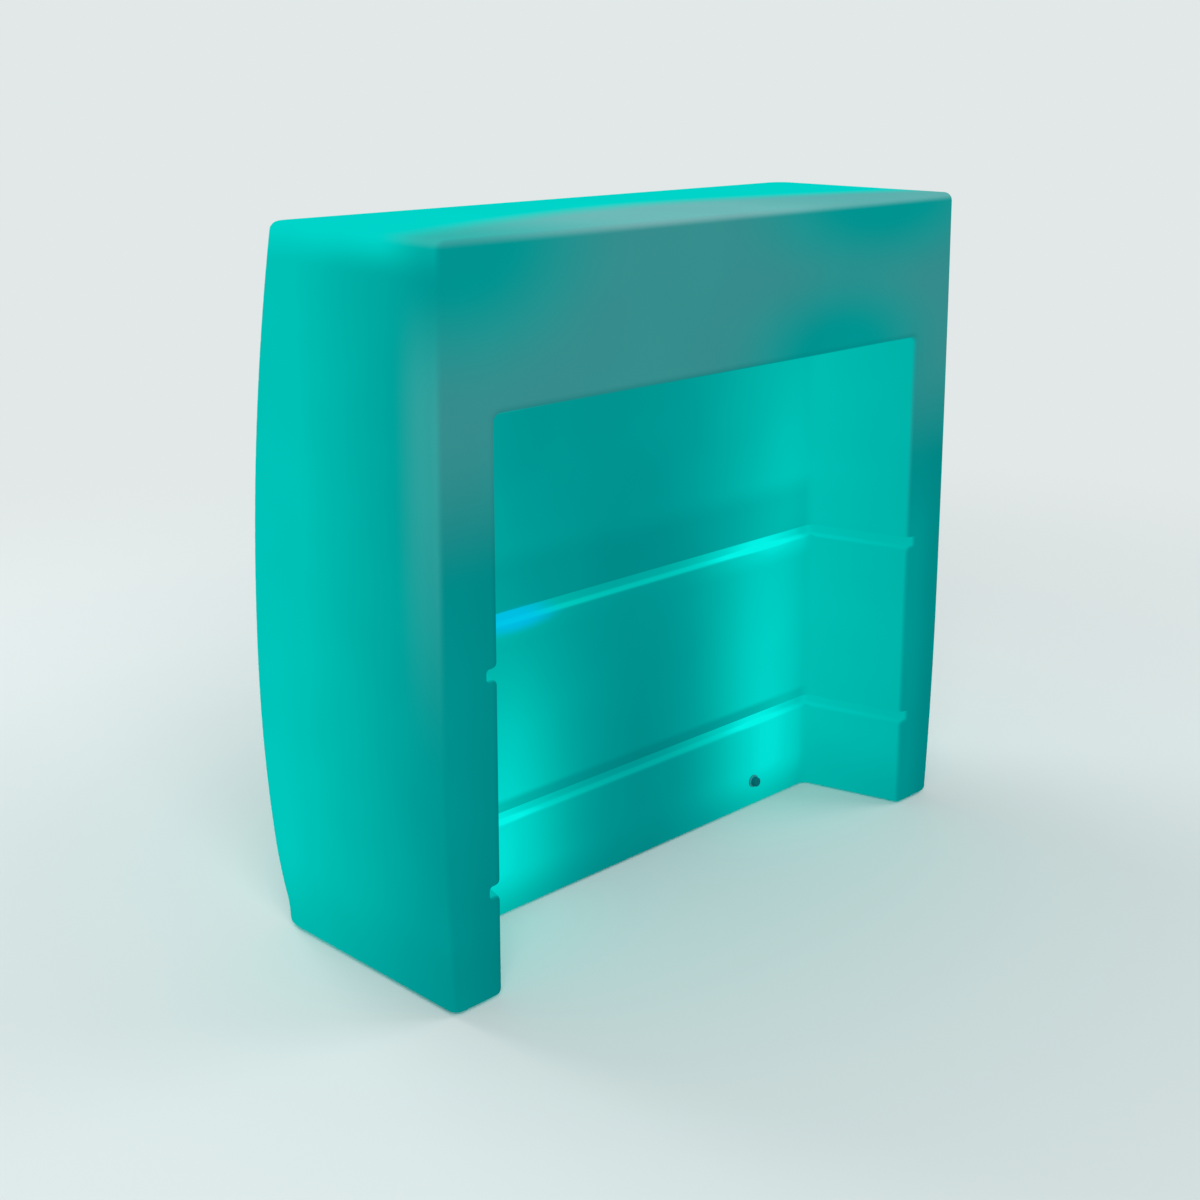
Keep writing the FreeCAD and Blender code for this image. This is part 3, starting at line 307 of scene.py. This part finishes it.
past_front = add(tree, RANGE, [depth, *BAY_START_Y], **SMOOTH)
below_apron = add(tree, RANGE, [height, BAY_TOP_Z, BAY_TOP_Z + APRON_BLEND, 1, 0], **SMOOTH)
between_legs = add(tree, RANGE, [across, LEG_START_X, LEG_START_X + GROOVE_DEPTH, 1, 0])
in_bay = add(tree, MATH, [past_front, below_apron], operation="MULTIPLY")
in_bay = add(tree, MATH, [in_bay, between_legs], operation="MULTIPLY")
glow = add(tree, MIX, {FACTOR: in_bay, FIRST: outside, SECOND: bay_glow})

# Server's face: apron and legs are narrow hollows that little light reaches, least at the floor and
# in the apron. Each leg is paler towards its left, low down, and pools of stray light lie in the apron.
# A thin line of painted shade runs along the rounded edge of the bay's mouth.
SERVER_GLOW = 0.29
LEG_FOOT_GLOW = 0.25
LEG_FADE_HEIGHT = 0.30
APRON_FALL = 0.035
APRON_START_Z = 0.63
LEG_X = {"left": (0.50, 0.585), "right": (-0.575, -0.497)}
LEG_RISE = {"left": 0.06, "right": 0.09}
LEG_RISE_Z = (0.45, 0.75)
LEG_WIDTH = body_high.x - BAY_MOUTH_HALF
server_glow = add(tree, RANGE, [height, 0, LEG_FADE_HEIGHT, LEG_FOOT_GLOW, SERVER_GLOW], **SMOOTH)
apron_fall = add(tree, RANGE, [height, APRON_START_Z, BAY_TOP_Z, 0, APRON_FALL], **SMOOTH)
server_glow = add(tree, MATH, [server_glow, apron_fall], operation="SUBTRACT")
low_leg = add(tree, RANGE, [height, *LEG_RISE_Z, 1, 0], **SMOOTH)
for side, span in LEG_X.items():
    on_leg = add(tree, MATH, [axes["X"], sum(span) / 2, LEG_WIDTH], operation="COMPARE")
    leg_rise = add(tree, RANGE, [axes["X"], *span, 0, LEG_RISE[side]], **SMOOTH)
    leg_rise = add(tree, MATH, [leg_rise, on_leg], operation="MULTIPLY")
    server_glow = add(tree, MATH, [leg_rise, low_leg, server_glow], operation="MULTIPLY_ADD")

# Each pool has its middle, x and z, and its half width and half height
POOLS = {
    (0.56, 1.115): (0.36, 0.24),
    (-0.27, 0.86): (0.33, 0.18),
    (-0.38, 1.13): (0.44, 0.18),
}
POOL_CORE = 0.25
POOL_RISE = 0.12
off_pools = 1.0
for (x, z), (half_width, half_height) in POOLS.items():
    away = away_from(tree, place, (x, 0, z), half_width, half_height)
    outer = add(tree, RANGE, [away, POOL_CORE, 1, 0, 1], **SMOOTH)
    off_pools = add(tree, MATH, [off_pools, outer], operation="MULTIPLY")
pool_rise = add(tree, RANGE, [off_pools, 0, 1, POOL_RISE, 0])
server_glow = add(tree, MATH, [server_glow, pool_rise])

# The painted shade line lies over the mouth and at its left, and not at its right
MOUTH_EDGE = 13 * MILLIMETRE
MOUTH_EDGE_SHADE = 0.08
FACE_EDGE_Y = (SERVER_Y - 10 * MILLIMETRE, SERVER_Y - 1.25 * MILLIMETRE)
below_edge = add(tree, RANGE, [height, BAY_TOP_Z, BAY_TOP_Z + MOUTH_EDGE, 1, 0])
left_edge = add(tree, RANGE, [axes["X"], BAY_MOUTH_HALF, BAY_MOUTH_HALF + MOUTH_EDGE, 1, 0])
off_right = add(tree, RANGE, [axes["X"], -BAY_MOUTH_HALF, MOUTH_EDGE - BAY_MOUTH_HALF])
on_edge_shade = add(tree, MATH, [below_edge, left_edge], operation="MULTIPLY")
on_edge_shade = add(tree, MATH, [on_edge_shade, off_right], operation="MULTIPLY")
server_glow = add(tree, MATH, [on_edge_shade, -MOUTH_EDGE_SHADE, server_glow], operation="MULTIPLY_ADD")
on_server = add(tree, RANGE, [depth, *FACE_EDGE_Y], **SMOOTH)
glow = add(tree, MIX, {FACTOR: on_server, FIRST: glow, SECOND: server_glow})

# Slight cloudiness from the wall's uneven thickness, and the light's colour at each glow
CLOUD_SIZE = 130 * MILLIMETRE
CLOUD_SHARE = 0.025
GLOW_COLOURS = {
    0.0: "#006468",
    0.25: "#007e7d",
    0.45: "#009c97",
    0.65: "#00b9ae",
    0.85: "#00d3c8",
    1.0: "#04f2e6",
}
clouds = add(tree, NOISE, {"Vector": place, "Scale": 1 / CLOUD_SIZE, "Detail": 1.0})
drift = add(tree, RANGE, [clouds, 0, 1, -CLOUD_SHARE, CLOUD_SHARE])
glow = add(tree, MATH, [glow, drift])
light = add(tree, "ShaderNodeValToRGB", [glow])
stops = light.color_ramp.elements
for position in GLOW_COLOURS:
    if 0 < position < 1:
        stops.new(position)
for stop, code in zip(stops, GLOW_COLOURS.values()):
    stop.color = linear(code)

# A cold glint of the left lamp in the upper groove
GLINT_COLOUR = "#00bdf2"
GLINT_HALF_LENGTH = 120 * MILLIMETRE
GLINT_HALF_HEIGHT = 26 * MILLIMETRE
GLINT_CORE = 0.2
GLINT_SHARE = 0.7
glint_place = (board_edge_x["left"], 0, upper_level - GROOVE_HALF_WIDTH)
away = away_from(tree, place, glint_place, GLINT_HALF_LENGTH, GLINT_HALF_HEIGHT)
glint = add(tree, RANGE, [away, GLINT_CORE, 1, GLINT_SHARE, 0], **SMOOTH)
glint = add(tree, MATH, [glint, in_bay], operation="MULTIPLY")
glinting = {FACTOR: glint, FIRST_COLOUR: light, SECOND_COLOUR: linear(GLINT_COLOUR)}
light = add(tree, MIX, glinting, data_type="RGBA").outputs[MIXED_COLOUR]

# The natural resin's base colour is painted dark teal, as if unlit from outside, and a painted grey sheen
# lies where hardly any light comes through, on the upper server's side. On the top the sheen lies over the
# apron, and is less at both ends.
SHADED_RESIN = "#001f22"
SHEEN_GREY = "#8b9396"
FACE_SHEEN = 0.16
SHEEN_Y = (0.135, 0.205)
END_SHEEN_Z = 0.35
TOP_SHEEN = 0.63
TOP_END_SHARE = 0.22
FAR_END_SHARE = 0.72
FAR_END_X = (-0.35, -0.05)
TOP_EDGE_Z = (TOP_Z - 14 * MILLIMETRE, TOP_Z - 3.5 * MILLIMETRE)
near_server = add(tree, RANGE, [depth, *SHEEN_Y, 0, FACE_SHEEN], **SMOOTH)
end_upper = add(tree, RANGE, [height, END_SHEEN_Z, BAY_TOP_Z], **SMOOTH)
face_upper = add(tree, RANGE, [height, APRON_START_Z, BAY_TOP_Z], **SMOOTH)
upper = add(tree, MIX, {FACTOR: on_server, FIRST: end_upper, SECOND: face_upper})
face_sheen = add(tree, MATH, [near_server, upper], operation="MULTIPLY")
face_sheen = add(tree, MATH, [face_sheen, off_pools], operation="MULTIPLY")
out_of_bay = add(tree, MATH, [1.0, in_bay], operation="SUBTRACT")
out_of_bay = add(tree, MATH, [out_of_bay, on_server], operation="MAXIMUM")
face_sheen = add(tree, MATH, [face_sheen, out_of_bay], operation="MULTIPLY")
to_end = add(tree, RANGE, [axes["X"], *TOP_END_X, TOP_SHEEN, TOP_SHEEN * TOP_END_SHARE], **SMOOTH)
to_far_end = add(tree, RANGE, [axes["X"], *FAR_END_X, FAR_END_SHARE, 1], **SMOOTH)
top_sheen = add(tree, MATH, [over_apron, to_end], operation="MULTIPLY")
top_sheen = add(tree, MATH, [top_sheen, to_far_end], operation="MULTIPLY")
on_top = add(tree, RANGE, [height, *TOP_EDGE_Z], **SMOOTH)
sheen = add(tree, MIX, {FACTOR: on_top, FIRST: face_sheen, SECOND: top_sheen})
# Painted shade and painted grey sheen make the base colour
shade_and_sheen_colours = {FACTOR: sheen, FIRST_COLOUR: linear(SHADED_RESIN), SECOND_COLOUR: linear(SHEEN_GREY)}
resin_shade_and_sheen = add(tree, MIX, shade_and_sheen_colours, data_type="RGBA").outputs[MIXED_COLOUR]

# The peel is about 3 mm across, drawn three times as coarse so that it shows
PEEL_SIZE = 9 * MILLIMETRE
PEEL_HEIGHT = 1 * MILLIMETRE
PEEL_STRENGTH = 0.12
peel = add(tree, NOISE, {"Vector": place, "Scale": 1 / PEEL_SIZE, "Detail": 2.0})
relief = add(tree, "ShaderNodeBump", {"Height": peel, "Strength": PEEL_STRENGTH, "Distance": PEEL_HEIGHT})
skin = add(tree, SHADER, {
    "Base Color": resin_shade_and_sheen,
    "Roughness": 0.46,
    "IOR": 1.5,
    "Specular IOR Level": 0.0,
    "Emission Color": light,
    "Emission Strength": 1.0,
    "Normal": relief,
})
add(tree, "ShaderNodeOutputMaterial", [skin])
dress(polyethylene, "body_shell")

# Feet and vent plug: moulded rubber and nylon, pushed into holes in the underside.
# Rubber is dull and slightly grey where it has rubbed on floors, and nylon has a soft shine.
GRAIN_CONTRAST = (0.35, 0.65)
ROUGHNESS_SPREAD = 0.06
RELIEF_STRENGTH = 0.4


def grained(name, pale, dark, grain_mm, roughness, relief_mm, **sockets):
    """Fine-grained finish: two close colours, with a roughness and a relief that follow their grain."""
    material, tree, place = new_material(name)
    spots = add(tree, NOISE, {"Vector": place, "Scale": 1 / (grain_mm * MILLIMETRE), "Detail": 3.0})
    share = add(tree, RANGE, [spots, *GRAIN_CONTRAST, 0, 1])
    colours = {FACTOR: share, FIRST_COLOUR: linear(dark), SECOND_COLOUR: linear(pale)}
    colour = add(tree, MIX, colours, data_type="RGBA").outputs[MIXED_COLOUR]
    smoothest = roughness - ROUGHNESS_SPREAD
    roughest = roughness + ROUGHNESS_SPREAD
    rough = add(tree, RANGE, [spots, 0, 1, smoothest, roughest])
    relief = {"Height": spots, "Strength": RELIEF_STRENGTH, "Distance": relief_mm * MILLIMETRE}
    bump = add(tree, "ShaderNodeBump", relief)
    finish = add(tree, SHADER, {"Base Color": colour, "Roughness": rough, "Normal": bump} | sockets)
    add(tree, "ShaderNodeOutputMaterial", [finish])
    return material


black_rubber = grained("black_rubber", "#2b2d2d", "#1a1b1c", grain_mm=1.5, roughness=0.72, relief_mm=0.10)
grey_nylon = grained("grey_nylon", "#b4b7b5", "#9fa3a1", grain_mm=2.0, roughness=0.48, relief_mm=0.05)
dress(black_rubber, "rubber_feet")
dress(grey_nylon, "vent_plug")

# Lamp covers: white ABS discs on rubber gaskets, each held under the base by zinc-plated screws.
# ABS comes from a spark-eroded mould, which leaves an even fine texture.
white_abs = grained("white_abs", "#e9ecea", "#dcdfdd", grain_mm=1.2, roughness=0.50, relief_mm=0.06)
for side in SIDES:
    dress(white_abs, f"lamp_cover_{side}", f"lamp_housing_{side}")
    dress(black_rubber, f"cover_gasket_{side}")

# Cover screws: cold-formed steel, zinc plated, six in each cover with their heads sunk in it.
# Each head is rounded at its rim, and has a cross recess for the driver pressed into it.
# Zinc gives them a cool and even shine.
SCREWS_PER_COVER = 6
SCREW_SEGMENTS = 32
SCREW_RADIUS = 2 * MILLIMETRE
HEAD_RADIUS = 3.8 * MILLIMETRE
HEAD_HEIGHT = 2.4 * MILLIMETRE
HEAD_ROUNDING = 1.2 * MILLIMETRE
ROUNDING_SEGMENTS = 5
TIP_LENGTH = 3 * MILLIMETRE
TIP_SHARE = 0.4
RECESS_LENGTH = 4.2 * MILLIMETRE
RECESS_WIDTH = 1.1 * MILLIMETRE
RECESS_DEPTH = 1.4 * MILLIMETRE
RECESS_TAPER = 0.75
SHARP_ANGLE = math.radians(40)
screw_low, screw_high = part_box("cover_screws_left")
shank_length = screw_high.z - screw_low.z - HEAD_HEIGHT - TIP_LENGTH


def drawn_up(shape, faces, rise, width_share=1):
    """Draw faces up from a shape, narrowed about the axis, and return the faces at their end."""
    grown = bmesh.ops.extrude_face_region(shape, geom=faces)["geom"]
    points = [item for item in grown if isinstance(item, bmesh.types.BMVert)]
    bmesh.ops.translate(shape, verts=points, vec=(0, 0, rise))
    bmesh.ops.scale(shape, verts=points, vec=(width_share, width_share, 1))
    return [item for item in grown if isinstance(item, bmesh.types.BMFace)]


screw = bmesh.new()
bmesh.ops.create_circle(screw, cap_ends=True, segments=SCREW_SEGMENTS, radius=HEAD_RADIUS)
bmesh.ops.translate(screw, verts=screw.verts[:], vec=(0, 0, screw_low.z))
rim = screw.edges[:]
head_top = drawn_up(screw, screw.faces[:], HEAD_HEIGHT)
bmesh.ops.inset_individual(screw, faces=head_top, thickness=HEAD_RADIUS - SCREW_RADIUS)
shank_end = drawn_up(screw, head_top, shank_length)
drawn_up(screw, shank_end, TIP_LENGTH, TIP_SHARE)
bmesh.ops.delete(screw, geom=head_top + shank_end, context="FACES")
bmesh.ops.bevel(screw, geom=rim, offset=HEAD_ROUNDING, affect="EDGES", segments=ROUNDING_SEGMENTS,
                profile=0.5, material=-1)
head_face = min(screw.faces, key=lambda face: face.calc_center_median().z)
pressed = [head_face, *head_face.edges, *head_face.verts]
for normal in (Vector((1, 0, 0)), Vector((0, 1, 0))):
    for cut in (RECESS_WIDTH / 2, -RECESS_WIDTH / 2, RECESS_LENGTH / 2, -RECESS_LENGTH / 2):
        split = bmesh.ops.bisect_plane(screw, geom=pressed, plane_co=normal * cut, plane_no=normal)
        pressed = split["geom"]
cross = []
for face in pressed:
    if isinstance(face, bmesh.types.BMFace):
        narrow, wide = sorted(map(abs, face.calc_center_median().xy))
        if narrow < RECESS_WIDTH / 2 and wide < RECESS_LENGTH / 2:
            cross.append(face)
drawn_up(screw, cross, RECESS_DEPTH, RECESS_TAPER)
bmesh.ops.delete(screw, geom=cross, context="FACES")
bmesh.ops.recalc_face_normals(screw, faces=screw.faces[:])
screw_mesh = bpy.data.meshes.new("screw")
screw.to_mesh(screw_mesh)
screw.free()

zinc_steel = grained("zinc_steel", "#cfd2d4", "#b4b8ba", grain_mm=0.8, roughness=0.32, relief_mm=0.02,
                     Metallic=1.0)
for side in SIDES:
    low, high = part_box(f"cover_screws_{side}")
    centre = (low + high) / 2
    ring_radius = (high.x - low.x) / 2 - HEAD_RADIUS
    screws = bmesh.new()
    for number in range(SCREWS_PER_COVER):
        angle = math.tau * number / SCREWS_PER_COVER
        spot = (centre.x + ring_radius * math.cos(angle), centre.y + ring_radius * math.sin(angle), 0)
        points_before = len(screws.verts)
        screws.from_mesh(screw_mesh)
        bmesh.ops.translate(screws, verts=screws.verts[:][points_before:], vec=spot)
    mesh = bpy.data.meshes.new(f"cross_screws_{side}")
    screws.to_mesh(mesh)
    screws.free()
    mesh.shade_smooth()
    mesh.set_sharp_from_angle(angle=SHARP_ANGLE)
    mesh.materials.append(zinc_steel)
    cross_screws = bpy.data.objects.new(f"cross_screws_{side}", mesh)
    bpy.context.scene.collection.objects.link(cross_screws)
    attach(cross_screws, "counter")
    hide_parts(f"cover_screws_{side}")

# Lamp insides: cells in a tray under a control board, then an aluminium plate that carries the board
# of light emitters. Screws hold the boards, and an opal dome over the emitters spreads their light.
# Film and lacquer are smooth, aluminium shines softly, unlit phosphor is yellow and opal plastic milky.
black_abs = grained("black_abs", "#26282a", "#1b1c1e", grain_mm=1.2, roughness=0.45, relief_mm=0.05)
cell_wrap = grained("cell_wrap", "#2a63a8", "#245892", grain_mm=4.0, roughness=0.30, relief_mm=0.03)
green_laminate = grained("green_laminate", "#17593a", "#0f4a2e",
                         grain_mm=1.0, roughness=0.30, relief_mm=0.02)
bare_aluminium = grained("bare_aluminium", "#d6d8da", "#c2c5c8",
                         grain_mm=0.8, roughness=0.36, relief_mm=0.02, Metallic=1.0)
white_laminate = grained("white_laminate", "#f0f0ec", "#e4e5e0",
                         grain_mm=1.0, roughness=0.32, relief_mm=0.02)
led_phosphor = grained("led_phosphor", "#f1ecb4", "#e4dc96", grain_mm=0.8, roughness=0.25, relief_mm=0.02)
opal_polycarbonate = grained("opal_polycarbonate", "#eef5f4", "#e2ecea",
                             grain_mm=6.0, roughness=0.35, relief_mm=0.02)
for side in SIDES:
    dress(black_abs, f"battery_tray_{side}")
    dress(cell_wrap, f"battery_cells_{side}")
    dress(green_laminate, f"control_board_{side}")
    dress(bare_aluminium, f"heat_plate_{side}")
    dress(white_laminate, f"led_board_{side}")
    dress(led_phosphor, f"led_emitters_{side}")
    dress(zinc_steel, f"board_screws_{side}")
    dress(opal_polycarbonate, f"lamp_dome_{side}")

# Charging socket: a flanged plastic body clamped through the bay's back wall by a nickelled nut.
# A rubber cap is pushed over its mouth, and pulls straight off. Both are painted in the teal of the wall's
# light.
# The body has the fine texture of its mould, the cap is dull, and nickel is bright and a little warm.
SOFT_GLOSS = {"Specular IOR Level": 0.05}
teal_lit_socket = grained("teal_lit_socket", "#35b0b0", "#2aa0a0",
                      grain_mm=1.0, roughness=0.45, relief_mm=0.04, **SOFT_GLOSS)
nickelled_brass = grained("nickelled_brass", "#cfcabb", "#b8b3a5",
                          grain_mm=0.8, roughness=0.28, relief_mm=0.02, Metallic=1.0)
cap_rubber = grained("cap_rubber", "#007a80", "#006a70",
                     grain_mm=1.0, roughness=0.60, relief_mm=0.08, **SOFT_GLOSS)
dress(teal_lit_socket, "charge_socket")
dress(nickelled_brass, "charge_pin", "charge_nut")
dress(black_rubber, "charge_gasket")
dress(cap_rubber, "charge_cap")

# Inner leads: cables from the socket to one lamp and on to the other, in black PVC with a low sheen.
# Nylon clips hold them along the hollow, and rubber grommets line the holes where they enter the lamps.
black_pvc = grained("black_pvc", "#232425", "#19191a", grain_mm=2.0, roughness=0.42, relief_mm=0.04)
dress(black_pvc, "link_lead", "charge_lead")
dress(grey_nylon, "lead_clips")
dress(black_rubber, "lead_grommets")

# Studio: a pale round floor that runs into an equally pale surround, lit by large soft lamps.
# The floor is clear from below and lets the surround's light through, so that the underside shows.
FLOOR_RADIUS = 14.0
FLOOR_SEGMENTS = 128
FLOOR_COLOUR = "#dfe5e5"
FLOOR_ROUGHNESS = (0.6, 0.7)
SPECKLE_SIZE = 40 * MILLIMETRE
SURROUND_COLOUR = "#e2e8e8"
SURROUND_LIGHT = 0.60
FADE_START = 1.0
FADE_END = 3.4
floor_mesh = bpy.data.meshes.new("floor")
disc = bmesh.new()
bmesh.ops.create_circle(disc, cap_ends=True, segments=FLOOR_SEGMENTS, radius=FLOOR_RADIUS)
disc.to_mesh(floor_mesh)
disc.free()
floor = bpy.data.objects.new("floor", floor_mesh)
bpy.context.scene.collection.objects.link(floor)
floor.visible_diffuse = False


def seen_rays(tree):
    """1 for rays that see the surround, from the camera, off gloss or through glass, and 0 for others."""
    rays = add(tree, "ShaderNodeLightPath").outputs
    seen = add(tree, MATH, [rays["Is Camera Ray"], rays["Is Glossy Ray"]], use_clamp=True)
    return add(tree, MATH, [seen, rays["Is Transmission Ray"]], use_clamp=True)


floor_paint, tree, place = new_material("floor_paint")
speckle = add(tree, NOISE, {"Vector": place, "Scale": 1 / SPECKLE_SIZE})
rough = add(tree, RANGE, [speckle, 0, 1, *FLOOR_ROUGHNESS])
paint = add(tree, SHADER, {
    "Base Color": linear(FLOOR_COLOUR),
    "Roughness": rough,
    "Specular IOR Level": 0.2,
})
haze = add(tree, "ShaderNodeEmission", [linear(SURROUND_COLOUR), 1.0])
distance = add(tree, VECTOR, [place], operation="LENGTH").outputs["Value"]
far = add(tree, RANGE, [distance, FADE_START, FADE_END], **SMOOTH)
far = add(tree, MATH, [far, seen_rays(tree)], operation="MULTIPLY")
faded = add(tree, "ShaderNodeMixShader", [far, paint, haze])
from_below = add(tree, "ShaderNodeNewGeometry").outputs["Backfacing"]
clear = add(tree, "ShaderNodeBsdfTransparent")
one_sided = add(tree, "ShaderNodeMixShader", [from_below, faded, clear])
add(tree, "ShaderNodeOutputMaterial", [one_sided])
floor_mesh.materials.append(floor_paint)

surround = bpy.data.worlds.new("surround")
surround.use_nodes = True
tree = surround.node_tree
tree.nodes.clear()
strength = add(tree, RANGE, [seen_rays(tree), 0, 1, SURROUND_LIGHT, 1.0])
sky = add(tree, "ShaderNodeBackground", [linear(SURROUND_COLOUR), strength])
add(tree, "ShaderNodeOutputWorld", [sky])
bpy.context.scene.world = surround

# Each studio lamp has its place and its power in watts
STUDIO_LAMP_SIZE = 3.0
STUDIO_LAMPS = {
    "key_lamp": ((2.6, 3.2, 3.4), 110),
    "fill_lamp": ((-3.4, 2.4, 2.8), 55),
    "front_lamp": ((0.6, -4.0, 3.0), 90),
}
middle = (cad_box[0] + cad_box[1]) / 2
for name, (spot, watts) in STUDIO_LAMPS.items():
    data = bpy.data.lights.new(name, "AREA")
    data.shape = "DISK"
    data.size = STUDIO_LAMP_SIZE
    data.energy = watts
    studio_lamp = bpy.data.objects.new(name, data)
    studio_lamp.location = spot
    studio_lamp.rotation_euler = (middle - Vector(spot)).to_track_quat("-Z", "Y").to_euler()
    bpy.context.scene.collection.objects.link(studio_lamp)

# Camera: on the server's side, a little above the counter's top and tilted down to it.
# A small shift keeps the uprights close to parallel.
CAMERA_PLACE = (2.0925, 2.0330, 1.3498)
CAMERA_TILT = math.radians(13.313)
CAMERA_HEADING = math.radians(134.938)
SENSOR_WIDTH_MM = 36
LENS_MM = 54.08
CAMERA_SHIFT = -0.10
camera_data = bpy.data.cameras.new("camera")
camera_data.sensor_width = SENSOR_WIDTH_MM
camera_data.lens = LENS_MM
camera_data.shift_y = CAMERA_SHIFT
camera = bpy.data.objects.new("camera", camera_data)
camera.location = CAMERA_PLACE
camera.rotation_euler = Euler((math.pi / 2 - CAMERA_TILT, 0, CAMERA_HEADING))
bpy.context.scene.collection.objects.link(camera)
bpy.context.scene.camera = camera
bpy.context.scene.view_settings.view_transform = "Standard"
